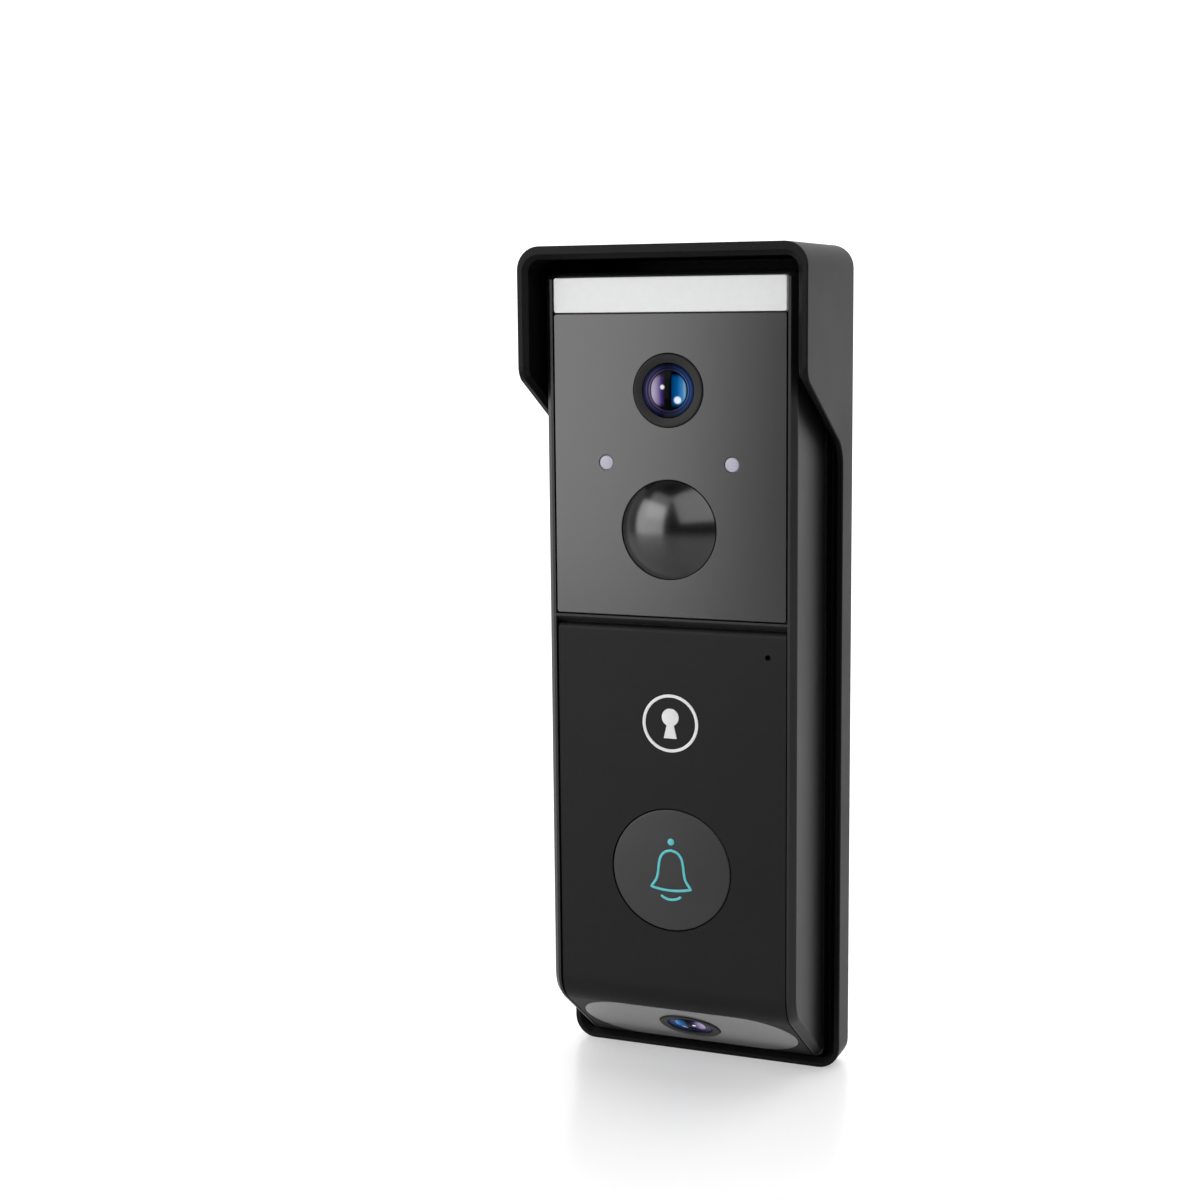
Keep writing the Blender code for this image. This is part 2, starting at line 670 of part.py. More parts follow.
def bell_outline(grow):
    """The right side of a hand bell from the top down, mirrored, moved outwards by grow."""
    side = [(0.45, 3.95), (1.5, 3.55), (2.35, 2.5), (2.7, 1.1), (2.95, -1.2), (3.3, -2.3)]
    side += [(4.15, -3.35), (3.9, -3.75)]
    right = [(x + grow * (0.6 if z > 3.8 else 1.0), z + grow * (1.0 if z > 2 else 0.0)) for x, z in side]
    right[-1] = (right[-1][0], right[-1][1] - grow)
    return right + [(-x, z) for x, z in reversed(right)]


def build_button():
    disc = BUTTON_RADIUS
    face = BUTTON_FACE
    profile = [(0, face), (disc - 0.3, face), (disc, face - 0.3), (disc, -2.2), (13.3, -2.2)]
    profile += [(13.3, -3.0), (2.6, -3.0), (2.6, -4.4), (0, -4.4)]
    turned("bell_button", FRONT, (0, BUTTON_Z), profile, "button_plastic", steps=48)
    low, high = face + 0.04, face + 0.14
    centre = (0, BUTTON_Z)
    bell = prism("bell_symbol", FRONT, bell_outline(0.3), low, high, "symbol_cyan", centre)
    cut(bell, prism("bell_inside", FRONT, bell_outline(-0.2), -5, 5, None, centre))
    dot_at = (0, BUTTON_Z + 5.75)
    prism("bell_symbol_dot", FRONT, circle(0.68, 16), low, high, "symbol_cyan", dot_at)
    arc = [(3.5 * math.cos(a), 3.5 * math.sin(a)) for a in spread(-2.25, -0.89, 9)]
    arc += [(3.0 * math.cos(a), 3.0 * math.sin(a)) for a in spread(-0.89, -2.25, 9)]
    arc_at = (0, BUTTON_Z - 2.7)
    prism("bell_symbol_clapper", FRONT, arc, low, high, "symbol_cyan", arc_at)
    board = rectangle(16.2, BUTTON_Z - 12.5, BUTTON_Z + 12.5, 1.0, 2)
    prism("button_board", FRONT, board, -9.5, -8.5, "circuit_board")


def spread(start, end, count):
    return [start + (end - start) * step / (count - 1) for step in range(count)]


def build_switch(prefix, frame, at, top, half, plunger, travel):
    """A tact switch: a square body with a bore, and the plunger that slides into it."""
    x, z = at
    square = rectangle(half, z - half, z + half, 0.4, 2, middle=x)
    body_top, body_end, pin_end = top - 0.7, top - 3.3, top - 1.8
    body = prism(prefix + "_switch_body", frame, square, body_end, body_top, "black_part")
    floor = pin_end - travel - GAP
    cut(body, cylinder(prefix + "_bore", frame, at, floor, 5, plunger + 0.3, sides=16))
    pin = [(0, top), (plunger, top), (plunger, pin_end), (0, pin_end)]
    turned(prefix + "_switch_plunger", frame, at, pin, "button_plastic", steps=16)


def build_reset_button():
    at = (-RESET_X, PORT_Z)
    profile = [(0, 0.05), (1.9, 0.05), (2.2, -0.2), (2.2, -3.4), (3.1, -3.4), (3.1, -4.1)]
    profile += [(1.2, -4.1), (1.2, -4.8), (0, -4.8)]
    turned("reset_button", REAR, at, profile, "button_plastic", steps=20)


def build_port():
    """The charging socket on the main board, and the rubber flap that covers it."""
    shell = rectangle(4.47, PORT_Z - 1.63, PORT_Z + 1.63, 1.6, 4)
    port = prism("charge_port", WALL, shell, 4.3, 10.7, "tinned_steel")
    hollow = rectangle(4.12, PORT_Z - 1.28, PORT_Z + 1.28, 1.25, 4)
    cut(port, prism("port_hollow", WALL, hollow, 0, 9.6))
    join(port, box("port_tongue", WALL, (-3.3, PORT_Z - 0.35, 5.0), (3.3, PORT_Z + 0.35, 10.0)))
    flap_at = Matrix.Translation(Vector((0, BODY_BACK_Y, 13.5)) * MM)
    frame = face_frame((0, -1, 0), (1, 0, 0), (0, 0, 0))
    outline = rectangle(7.0, 0.0, 9.0, 1.0, 3)
    prism("port_flap", flap_at @ frame, outline, 0.0, 1.3, "rubber", (0, 0))


# Loose parts inside, and fasteners


def build_inside():
    board = rectangle(16.0, 10.5, 66.0, 0.8, 2)
    main = prism("main_board", WALL, board, 11.0, 12.2, "circuit_board")
    for x in (-POST_X, POST_X):
        at = (x, POST_HEIGHTS[x < 0])
        cut(main, cylinder("board_hole", WALL, at, 5, 15, 1.1, sides=12))
    box("processor_shield", WALL, (-9, 22, 12.5), (9, 40, 14.9), "tinned_steel")
    pack = rectangle(16.0, -57.5, 7.0, 2.0, 3)
    prism("battery_pack", WALL, pack, 4.6, 14.0, "battery_wrap")
    cone_profile = [(0, -4.7), (7.0, -4.7), (9.9, -5.2), (9.9, -8.5), (6.5, -8.5), (6.5, -8.6), (0, -8.6)]
    turned("speaker", face_frame((0, 1, 0), (-1, 0, 0), (0, 0, 0)), (0, 40.0), cone_profile, "black_part")
    box("antenna_strip", WALL, (-23.2, 20, 12), (-22.8, 60, 20), "antenna_film")
    mic = (MIC_X, MIC_Z)
    boot = [(0.55, -2.2), (2.6, -2.2), (2.6, -5.0), (2.2, -5.0), (2.2, -2.9), (0.55, -2.9)]
    turned("microphone_boot", FRONT, mic, boot, "rubber", steps=20, closed=True)
    capsule = [(0, -3.2), (1.9, -3.2), (1.9, -5.2), (0, -5.2)]
    turned("microphone", FRONT, mic, capsule, "tinned_steel", steps=20)


def build_screw(name, frame, at, top, head, head_height, shank, length, flat=False):
    """A screw whose head's outer face is at top, its shank running inwards."""
    neck = top - head_height
    outer = [(0, top), (head, top)] if flat else [(0, top), (head * 0.75, top), (head, top - 0.35)]
    outer += [] if flat else [(head, neck)]
    profile = outer + [(shank, neck), (shank, top - length + 0.5), (0, top - length)]
    turned(name, frame, at, profile, "screw_steel", steps=16)


def build_fasteners():
    number = 0
    for z in BOSS_HEIGHTS:
        for x in (-BOSS_X, BOSS_X):
            number += 1
            build_screw("shell_screw_%d" % number, REAR, (x, z), -0.2, 1.8, 1.1, 0.95, 10.0)
    back = face_frame((0, 1, 0), (-1, 0, 0), (0, -9.7, 0))
    for number, x in enumerate((-POST_X, POST_X), 1):
        at = (-x, POST_HEIGHTS[x < 0])
        build_screw("board_screw_%d" % number, back, at, 0.0, 1.6, 1.0, 0.8, 6.0)
    below = face_frame((0, 0, -1), (1, 0, 0), (0, 0, 0))
    build_screw("security_screw", below, (0, -SECURITY_Y), 82.6, 1.9, 1.2, 0.9, 6.6, flat=True)


def build_cameras():
    build_camera("main", FRONT, (0, LENS_Z), 7.0, 5.2, (-10.5, -6.0, -12.8, 7.5, 10.0))
    build_camera("chin", CHIN, (0, 0), 6.3, 4.6, (-5.6, -4.0, -7.2, 5.6, 6.2))


build_rain_hood()
build_front_shell()
build_rear_shell()
build_seal()
build_glass_panel()
build_lower_cover()
build_badge()
build_cameras()
build_motion_sensor()
build_light_bar()
build_button()
build_switch("bell", FRONT, (0, BUTTON_Z), -4.7, 3.0, 1.7, 0.6)
build_reset_button()
build_switch("reset", REAR, (-RESET_X, PORT_Z), -5.1, 2.0, 0.9, 0.4)
build_port()
build_inside()
build_fasteners()
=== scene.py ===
# %% [markdown]
# # A video doorbell in its rain hood
#
# The real object is a tall black doorbell that sits in a moulded rain hood. Its front has a white
# light bar, a camera, two small light pipes, a glossy motion sensor dome, a badge, a bell button
# and a sloping chin with a second camera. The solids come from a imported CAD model. This lesson
# gives them their finishes, and it works out again, as smooth surfaces, the pieces whose curves
# and edges the light shows up. Lengths are in metres unless a name ends in _mm or _MM.

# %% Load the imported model
import json
import math

import bmesh
import bpy
import numpy as np
from mathutils import Matrix, Vector


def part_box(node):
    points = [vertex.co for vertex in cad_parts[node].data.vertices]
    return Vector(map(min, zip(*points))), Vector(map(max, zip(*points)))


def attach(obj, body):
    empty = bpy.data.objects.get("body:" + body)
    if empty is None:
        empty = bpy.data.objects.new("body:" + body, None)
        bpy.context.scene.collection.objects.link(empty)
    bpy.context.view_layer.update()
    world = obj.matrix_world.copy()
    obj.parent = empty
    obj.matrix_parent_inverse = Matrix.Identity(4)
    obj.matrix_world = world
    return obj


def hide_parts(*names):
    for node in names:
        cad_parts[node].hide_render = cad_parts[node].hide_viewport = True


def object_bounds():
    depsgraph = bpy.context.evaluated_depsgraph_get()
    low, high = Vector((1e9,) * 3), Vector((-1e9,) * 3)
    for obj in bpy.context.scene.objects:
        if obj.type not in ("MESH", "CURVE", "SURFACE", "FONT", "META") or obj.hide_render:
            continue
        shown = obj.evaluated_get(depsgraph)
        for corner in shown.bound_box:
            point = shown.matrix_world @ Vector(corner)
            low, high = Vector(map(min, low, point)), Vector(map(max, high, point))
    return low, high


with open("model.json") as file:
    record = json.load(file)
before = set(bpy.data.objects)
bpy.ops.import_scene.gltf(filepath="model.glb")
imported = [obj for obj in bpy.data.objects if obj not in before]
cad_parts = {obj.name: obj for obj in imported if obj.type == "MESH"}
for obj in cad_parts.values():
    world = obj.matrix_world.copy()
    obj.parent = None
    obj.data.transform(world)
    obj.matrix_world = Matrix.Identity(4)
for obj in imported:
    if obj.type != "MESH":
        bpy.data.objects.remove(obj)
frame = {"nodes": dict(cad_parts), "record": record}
cad_box = [list(corner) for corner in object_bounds()]
nodes = frame["nodes"]
body_of_node = {n: b for b, ns in frame["record"]["behaviour"]["bodies"].items() for n in ns}
print("the doorbell's box in metres:", [[round(v, 4) for v in corner] for corner in cad_box])

# %% [markdown]
# ## Frames to build in
#
# Round pieces are easiest to think of in a frame of their own: right, up, and out of the face
# they sit in. The front face looks along -Y. The chin leans back, so its frame is turned by the
# chin's angle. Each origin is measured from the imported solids, so that a new piece always lands
# where the old one was.

# %% Frames
MM = 0.001
CHIN_ANGLE = math.radians(36.2)
CHIN_WINDOW_HALF_MM = 0.375


def middle(node):
    """The centre of a node's box."""
    low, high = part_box(node)
    return np.array(low + high) / 2


def face_frame(origin, out):
    """Rows: origin, right, up, out. Right is always +X, and up is out x right."""
    out = np.array(out, float)
    right = np.array([1.0, 0.0, 0.0])
    return np.array([origin, right, np.cross(out, right), out])


GLASS_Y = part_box("glass_panel")[0].y
CHIN_OUT = (0.0, -math.sin(CHIN_ANGLE), -math.cos(CHIN_ANGLE))
chin_origin = middle("chin_window") + np.array(CHIN_OUT) * CHIN_WINDOW_HALF_MM * MM
CHIN = face_frame(chin_origin, CHIN_OUT)


def on_front(node):
    """The front face's frame, with its origin level with the glass in front of a node's centre."""
    centre = middle(node)
    return face_frame((centre[0], GLASS_Y, centre[2]), (0.0, -1.0, 0.0))


print("glass face at y =", round(GLASS_Y, 5), "and chin centre at", chin_origin.round(5))

# %% [markdown]
# ## Surfaces from arrays
#
# A surface is a grid of points, rows by columns. Every piece below fills such a grid with one
# formula, and this helper joins neighbouring points into faces. A turned piece closes on itself
# round its axis, and its rows end in one point where they meet the axis. The mesh is merged, its
# faces are made to point outwards, and only edges sharper than 38 degrees stay sharp.

# %% Grid to mesh
SHARP_DEGREES = 38.0
MERGE_DISTANCE = 1e-7


def grid_faces(rows, columns, wrap_rows, wrap_columns):
    """Quads (i, j), (i, j+1), (i+1, j+1), (i+1, j). A wrapped side ends where it began."""
    i = np.arange(rows if wrap_rows else rows - 1)[:, None]
    j = np.arange(columns if wrap_columns else columns - 1)[None, :]
    below, beside = (i + 1) % rows, (j + 1) % columns
    corners = [i * columns + j, i * columns + beside, below * columns + beside, below * columns + j]
    return np.stack([np.broadcast_to(c, (i.size, j.size)) for c in corners], -1).reshape(-1, 4)


def mesh_object(name, points, faces):
    """A mesh object at the origin from an array of points and an array of quads."""
    mesh = bpy.data.meshes.new(name)
    mesh.from_pydata(points.reshape(-1, 3), [], faces)
    piece = bpy.data.objects.new(name, mesh)
    bpy.context.scene.collection.objects.link(piece)
    return tidy_mesh(piece)


def tidy_mesh(piece):
    """Merges doubles, drops empty faces, points the faces outwards and marks the sharp edges."""
    shape = bmesh.new()
    shape.from_mesh(piece.data)
    bmesh.ops.remove_doubles(shape, verts=shape.verts, dist=MERGE_DISTANCE)
    bmesh.ops.dissolve_degenerate(shape, edges=shape.edges, dist=MERGE_DISTANCE)
    bmesh.ops.recalc_face_normals(shape, faces=shape.faces)
    shape.to_mesh(piece.data)
    shape.free()
    piece.data.shade_smooth()
    piece.data.set_sharp_from_angle(angle=math.radians(SHARP_DEGREES))
    return piece


# %% [markdown]
# ## Rounded corners
#
# Moulded and turned edges are never truly sharp, and the thin highlight on a rounded edge is what
# makes a part look real. This helper takes corners of (x, y, radius) and returns the line through
# them with an arc of that radius at each corner.

# %% Rounded line
def rounded_line(corners, closed=False, steps=6):
    """At each corner the arc's centre lies on the bisector, radius / sin(half angle) away."""
    corners = np.array(corners, float)
    last = len(corners) - 1
    line = []
    for k, (x, y, radius) in enumerate(corners):
        here = np.array([x, y])
        if radius == 0 or (not closed and k in (0, last)):
            line.append(here[None])
            continue
        back = corners[k - 1, :2] - here
        ahead = corners[(k + 1) % len(corners), :2] - here
        back, ahead = back / np.linalg.norm(back), ahead / np.linalg.norm(ahead)
        half = math.acos(np.clip(back @ ahead, -1, 1)) / 2
        bisector = (back + ahead) / np.linalg.norm(back + ahead)
        centre = here + bisector * radius / math.sin(half)
        first = here + back * radius / math.tan(half) - centre
        end = here + ahead * radius / math.tan(half) - centre
        turn = math.atan2(first[0] * end[1] - first[1] * end[0], first @ end)
        angles = turn * np.linspace(0, 1, steps + 1)
        cos, sin = np.cos(angles), np.sin(angles)
        arc = np.stack([cos * first[0] - sin * first[1], sin * first[0] + cos * first[1]], 1)
        line.append(centre + arc)
    return np.concatenate(line)


# %% [markdown]
# ## Turned pieces
#
# Lens rings, domes, buttons and light pipes are all made on a lathe or in a round mould. One
# profile of (radius, height) turns about the face's out direction.

# %% Lathe
def lathe(name, where, profile_mm, steps=96):
    """Point (a, k) = origin + r_k (cos a right + sin a up) + h_k out, for angle a and profile k."""
    profile = np.array(profile_mm, float) * MM
    angle = np.linspace(0, 2 * math.pi, steps, endpoint=False)[:, None]
    local = np.stack(
        np.broadcast_arrays(
            profile[:, 0] * np.cos(angle), profile[:, 0] * np.sin(angle), profile[:, 1]
        ),
        -1,
    )
    points = where[0] + local @ where[1:]
    piece = mesh_object(name, points, grid_faces(steps, len(profile), True, False))
    print(name, "turned from", len(profile), "profile points")
    return piece


# %% [markdown]
# ## Printed lines
#
# The bell symbol and the badge are thin raised prints. A print is a small rounded bead carried
# along a flat path, and a filled print is an outline that shrinks towards its middle while it
# rises a little.

# %% Bead and filled print
BEAD_SIDE = np.array([-1, -1, -0.82, -0.4, 0.4, 0.82, 1, 1])
BEAD_RISE = np.array([0, 0.55, 0.9, 1, 1, 0.9, 0.55, 0])
CAP_STEPS = 6
PRINT_SIZE = np.array([0.0, 0.96, 0.99, 1.0, 1.0, 0.0])
PRINT_RISE = np.array([1.0, 1.0, 0.85, 0.5, 0.0, 0.0])


def bead(name, where, path_mm, width_mm, low_mm, high_mm, closed=False):
    """Point (k, s) = path_k + side_s normal_k + rise_s out. Open ends shrink on a half circle."""
    path = np.array(path_mm, float)
    if closed:
        along = np.roll(path, -1, 0) - np.roll(path, 1, 0)
    else:
        along = np.gradient(path, axis=0)
    along /= np.linalg.norm(along, axis=1, keepdims=True)
    normal = np.stack([-along[:, 1], along[:, 0]], 1)
    thick = np.ones(len(path))
    if not closed:
        turn = np.linspace(0, math.pi / 2, CAP_STEPS + 1)[:-1]
        cap = width_mm / 2 * np.cos(turn)[:, None]
        start, end = path[:1] - cap * along[:1], path[-1:] + cap[::-1] * along[-1:]
        path = np.concatenate([start, path, end])
        first, last = normal[:1].repeat(CAP_STEPS, 0), normal[-1:].repeat(CAP_STEPS, 0)
        normal = np.concatenate([first, normal, last])
        thick = np.concatenate([np.sin(turn), thick, np.sin(turn)[::-1]])
    side = width_mm / 2 * BEAD_SIDE
    rise = low_mm + (high_mm - low_mm) * BEAD_RISE
    flat = path[:, None, :] + (side * thick[:, None])[..., None] * normal[:, None, :]
    local = np.concatenate([flat, np.broadcast_to(rise, flat.shape[:2])[..., None]], -1) * MM
    points = where[0] + local @ where[1:]
    return mesh_object(name, points, grid_faces(len(path), len(BEAD_SIDE), closed, True))


def filled_print(name, where, outline_mm, heart_mm, low_mm, high_mm):
    """Point (t, k) = heart + size_t (outline_k - heart), raised by rise_t, over the shrinking t."""
    size = PRINT_SIZE[:, None, None]
    rise = PRINT_RISE[:, None] * (high_mm - low_mm) + low_mm
    heart = np.array(heart_mm, float)
    flat = heart + size * (np.array(outline_mm, float) - heart)
    local = np.concatenate([flat, np.broadcast_to(rise, flat.shape[:2])[..., None]], -1) * MM
    points = where[0] + local @ where[1:]
    return mesh_object(name, points, grid_faces(len(PRINT_SIZE), len(outline_mm), False, True))


# %% [markdown]
# ## Skins for the large mouldings
#
# The hood, the shells and the panels already have the right shape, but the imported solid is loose
# flat triangles. A copy with its doubles merged and its flat faces joined can be shaded smoothly:
# the rounded corners then run into the flat sides with no facets. A fine bevel on the panels
# catches the light along their edges.

# %% Skin of a CAD node
SOLID_MERGE_DISTANCE = 2e-6
FLAT_DEGREES = 0.6


def skin(node, name, bevel_mm=0.0):
    """A merged and smooth copy of a node's mesh, with an optional fine bevel."""
    piece = bpy.data.objects.new(name, nodes[node].data.copy())
    bpy.context.scene.collection.objects.link(piece)
    if piece.data.has_custom_normals:
        piece.data.attributes.remove(piece.data.attributes["custom_normal"])
    shape = bmesh.new()
    shape.from_mesh(piece.data)
    bmesh.ops.remove_doubles(shape, verts=shape.verts, dist=SOLID_MERGE_DISTANCE)
    limit = math.radians(FLAT_DEGREES)
    bmesh.ops.dissolve_limit(shape, angle_limit=limit, verts=shape.verts, edges=shape.edges)
    shape.to_mesh(piece.data)
    shape.free()
    piece.data.shade_smooth()
    piece.data.set_sharp_from_angle(angle=math.radians(SHARP_DEGREES))
    if bevel_mm:
        edge = piece.modifiers.new("edge", "BEVEL")
        edge.width, edge.segments, edge.limit_method = bevel_mm * MM, 2, "ANGLE"
        edge.angle_limit, edge.harden_normals = math.radians(SHARP_DEGREES), True
    weighted = piece.modifiers.new("flat faces stay flat", "WEIGHTED_NORMAL")
    weighted.keep_sharp = not bevel_mm
    print(name, "has", len(piece.data.polygons), "faces")
    return piece


def settle(piece, finish, slot, *stands_for):
    """Gives a piece its finish, lets it ride on its nodes' body and hides those nodes."""
    piece.data.materials.clear()
    piece.data.materials.append(finish)
    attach(piece, body_of_node[stands_for[0]])
    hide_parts(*stands_for)
    return piece


# %% [markdown]
# ## Camera
#
# The camera stands to the right of the doorbell and above its middle, and looks a little down at
# it. Its right, up and ahead directions are written out, so nothing has to be aimed.

# %% Camera
LENS_MM, SENSOR_MM = 60.68, 36.0
CAMERA_AT = (0.13377, -0.38972, 0.07032)
RIGHT = Vector((0.9263556, 0.3765218, -0.0098299))
UP = Vector((-0.0440319, 0.1341768, 0.9899787))
AHEAD = Vector((-0.3740675, 0.9166395, -0.1408744))

camera_data = bpy.data.cameras.new("camera")
camera_data.lens, camera_data.sensor_width = LENS_MM, SENSOR_MM
camera_data.clip_start = 0.01
camera = bpy.data.objects.new("camera", camera_data)
bpy.context.scene.collection.objects.link(camera)
facing = Matrix((RIGHT, UP, -AHEAD)).transposed().to_4x4()
camera.matrix_world = Matrix.Translation(CAMERA_AT) @ facing
bpy.context.scene.camera = camera
print("camera", [round(v, 4) for v in camera.location], "lens", LENS_MM, "mm")

# %% [markdown]
# ## Building with nodes
#
# Every finish is a small chain of nodes. Three helpers keep the chains short: one adds a node, one
# turns a value into a colour through a few stops, and one does arithmetic.

# %% Node helper
def add(tree, kind, label="", **settings):
    """A node with its properties, and its numbered or named inputs, set in one call."""
    made = tree.nodes.new(kind)
    made.label = label
    inputs = settings.pop("inputs", {})
    for key, value in settings.items():
        setattr(made, key, value)
    for key, value in inputs.items():
        if isinstance(value, bpy.types.NodeSocket):
            tree.links.new(value, made.inputs[key])
        else:
            made.inputs[key].default_value = value
    return made


def ramp(tree, value, stops, label=""):
    """A colour ramp through stops of (position, grey or colour)."""
    made = add(tree, "ShaderNodeValToRGB", label, inputs={0: value})
    elements = made.color_ramp.elements
    for index, (position, colour) in enumerate(stops):
        element = elements[index] if index < 2 else elements.new(position)
        element.position = position
        grey = isinstance(colour, (int, float))
        element.color = (colour, colour, colour, 1) if grey else (*colour, 1)
    return made.outputs[0]


def arithmetic(tree, how, *values):
    """One maths node on numbers and outputs of other nodes."""
    return add(tree, "ShaderNodeMath", operation=how, inputs=dict(enumerate(values))).outputs[0]


print("helpers for nodes, ramps and arithmetic")

# %% [markdown]
# ## Floor, backdrop and soft boxes
#
# The doorbell stands on a pale floor in a white studio. The light from behind is white, which gives
# the doorbell's sides their grazing sheen. The light from the front is dim, which keeps the black
# front black. A large soft box on each side shows in glossy faces only: the left one puts the long
# soft gradient into the panel, and the right one puts a sheen on the sides. A fill in front and a
# box above light everything else.

# %% Studio
WHITE = (1, 1, 1, 1)
FLOOR_Z = cad_box[0][2]
FLOOR_HALF = 2.0
FLOOR_TONE, FLOOR_GLOW = 0.78, 0.40
FADE_FROM, FADE_TO = 0.45, 0.95
FRONT_LIGHT, BACK_LIGHT = 0.04, 1.4
SOFT_BOXES = [  # name, place, aimed at, size, watts, only seen in glossy faces
    ("left_soft_box", (-0.613, -0.66, 0.22), (0, 0, 0.12), (0.86, 0.80), 13.1, True),
    ("right_soft_box", (0.56, -0.56, 0.62), (0, 0, 0.03), (1.50, 1.00), 17.0, True),
    ("front_fill", (-0.9, -1.3, 1.0), (0, 0, 0), (1.2, 1.2), 11.0, False),
    ("top_soft_box", (0.1, 0.6, 1.6), (0, 0.1, -0.08), (2.4, 2.0), 8.0, False),
]


def build_floor():
    """A square of 4 m, pale and a little glossy. It fades out with distance, so no edge shows.
    Seen from below it is clear, so the doorbell's underside can be looked at."""
    corners = FLOOR_HALF * np.array([[-1, -1], [1, -1], [1, 1], [-1, 1]])
    points = np.column_stack([corners, np.full(4, FLOOR_Z)])
    floor = mesh_object("floor", points, np.array([[0, 1, 2, 3]]))
    finish = bpy.data.materials.new("pale_floor")
    finish.use_nodes = True
    tree = finish.node_tree
    shader = tree.nodes["Principled BSDF"]
    where = add(tree, "ShaderNodeTexCoord").outputs["Object"]
    grain = add(tree, "ShaderNodeTexNoise", "paint", inputs={"Vector": where, "Scale": 30.0})
    shade = ramp(tree, grain.outputs["Fac"], [(0.3, FLOOR_TONE - 0.01), (0.7, FLOOR_TONE)])
    tree.links.new(shade, shader.inputs["Base Color"])
    shader.inputs["Emission Color"].default_value = WHITE
    shader.inputs["Emission Strength"].default_value = FLOOR_GLOW
    shader.inputs["Roughness"].default_value = 0.25
    shader.inputs["Specular IOR Level"].default_value = 0.35
    distance = add(tree, "ShaderNodeVectorMath", operation="LENGTH", inputs={0: where})
    stops = [(FADE_FROM, 1.0), (FADE_TO, 0.0)]
    solid = ramp(tree, distance.outputs["Value"], stops, "fades out")
    seen = add(tree, "ShaderNodeLightPath").outputs["Is Camera Ray"]
    below = add(tree, "ShaderNodeNewGeometry").outputs["Backfacing"]
    from_above = arithmetic(tree, "SUBTRACT", 1.0, arithmetic(tree, "MULTIPLY", seen, below))
    alpha = arithmetic(tree, "MULTIPLY", solid, from_above)
    tree.links.new(alpha, shader.inputs["Alpha"])
    floor.data.materials.append(finish)


def build_world():
    """The light runs from FRONT_LIGHT, towards -Y, up to BACK_LIGHT, sideways and towards +Y.
    The backdrop itself is white on every side."""
    world = bpy.data.worlds.new("studio")
    world.use_nodes = True
    bpy.context.scene.world = world
    tree = world.node_tree
    where = add(tree, "ShaderNodeTexCoord").outputs["Generated"]
    split = add(tree, "ShaderNodeSeparateXYZ", inputs={0: where})
    share = add(
        tree,
        "ShaderNodeMapRange",
        "front to back",
        interpolation_type="SMOOTHSTEP",
        inputs={"Value": split.outputs["Y"], "From Min": -0.35, "From Max": 0.25},
    )
    share.inputs["To Min"].default_value = FRONT_LIGHT
    share.inputs["To Max"].default_value = BACK_LIGHT
    seen = add(tree, "ShaderNodeLightPath").outputs["Is Camera Ray"]
    strength = arithmetic(tree, "MAXIMUM", share.outputs[0], seen)
    background = tree.nodes["Background"]
    tree.links.new(strength, background.inputs["Strength"])
    background.inputs["Color"].default_value = WHITE


def soft_box(name, at, aim, size, watts, sheen_only):
    """A rectangular light that faces the point aim, or one that only shows in glossy faces."""
    data = bpy.data.lights.new(name, "AREA")
    data.shape, data.energy = "RECTANGLE", watts
    data.size, data.size_y = size
    light = bpy.data.objects.new(name, data)
    bpy.context.scene.collection.objects.link(light)
    light.location = at
    light.rotation_euler = (Vector(aim) - Vector(at)).to_track_quat("-Z", "Y").to_euler()
    light.visible_diffuse = not sheen_only


build_floor()
build_world()
for settings in SOFT_BOXES:
    soft_box(*settings)
bpy.context.scene.view_settings.view_transform = "Standard"
print(len(SOFT_BOXES), "soft boxes, and a studio that is dim in front")

# %% [markdown]
# ## Moulded black plastic
#
# The hood, the shell, the lower cover and the button are one family: black plastic from a textured
# mould. What tells them apart is how coarse the mould's texture is and how matte it leaves the
# surface. Three scales are layered: the fine grain of the mould, a slow waviness from shrinkage,
# and faint blotches where the surface has been handled, which only change its roughness.

# %% Black plastic finish
WAVE_DEPTH = 0.00002


def new_finish(name):
    """A new material, its nodes, its main shader and the point's place on the object."""
    made = bpy.data.materials.new(name)
    made.use_nodes = True
    tree = made.node_tree
    where = add(tree, "ShaderNodeTexCoord", "place").outputs["Object"]
    return made, tree, tree.nodes["Principled BSDF"], where


def noise(tree, where, per_metre, detail, label):
    """A cloudy value with so many blotches to the metre."""
    made = add(tree, "ShaderNodeTexNoise", label, inputs={"Vector": where, "Scale": per_metre})
    made.inputs["Detail"].default_value = detail
    return made.outputs["Fac"]


def moulded_plastic(name, colour, roughness, shine, grain_per_m, grain_depth):
    """Mould grain and waviness as bump, with small changes of colour and roughness on top."""
    made, tree, shader, where = new_finish(name)
    grain = noise(tree, where, grain_per_m, 3.0, "mould grain")
    sunk = noise(tree, where, 90.0, 1.0, "shrinkage")
    touch = noise(tree, where, 28.0, 4.0, "handling")
    dark = tuple(c * 0.88 for c in colour)
    light = tuple(min(1.0, c * 1.14) for c in colour)
    tone = ramp(tree, touch, [(0.35, dark), (0.65, light)], "tone")
    tree.links.new(tone, shader.inputs["Base Color"])
    low, high = roughness - 0.04, roughness + 0.04
    rough = ramp(tree, touch, [(0.3, low), (0.7, high)], "roughness")
    tree.links.new(rough, shader.inputs["Roughness"])
    fine = add(tree, "ShaderNodeBump", "grain", inputs={"Height": grain, "Distance": grain_depth})
    slow = add(tree, "ShaderNodeBump", "waviness", inputs={"Height": sunk, "Distance": WAVE_DEPTH})
    tree.links.new(fine.outputs[0], slow.inputs["Normal"])
    tree.links.new(slow.outputs[0], shader.inputs["Normal"])
    shader.inputs["Specular IOR Level"].default_value = shine
    return made


